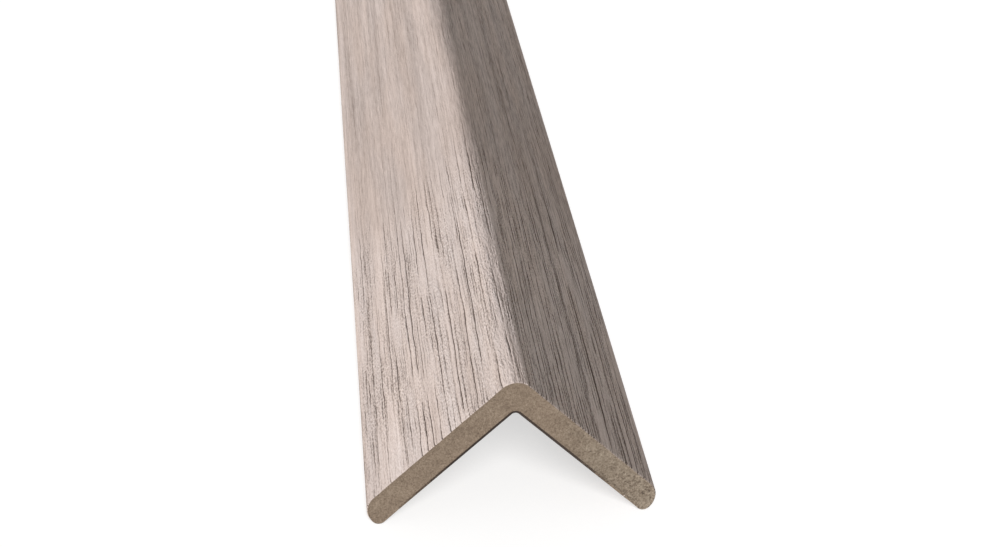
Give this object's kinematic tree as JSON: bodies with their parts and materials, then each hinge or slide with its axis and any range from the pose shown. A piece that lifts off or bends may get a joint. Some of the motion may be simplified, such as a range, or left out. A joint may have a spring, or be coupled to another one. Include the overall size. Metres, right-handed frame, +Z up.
{
  "type": "corner guard moulding",
  "caption": "Long right-angle moulding with a rounded ridge and eased edges, glued over the outside corner of a wall to cover and protect it.",
  "frame": {"origin": "on the floor under the middle of the stock, half way along it and midway between the two noses", "axes": "+Y along the stock, +Z up through the ridge, +X across the section; the moulding lies ridge up on its two noses"},
  "size_m": [0.038, 2.44, 0.0216],
  "materials": {
    "woodgrain_foil": "matt embossed greyed oak foil on the faces, raw brown fibreboard on the sawn ends and backs"
  },
  "bodies": {
    "root": {"corner_guard": "woodgrain_foil"}
  },
  "joints": []
}
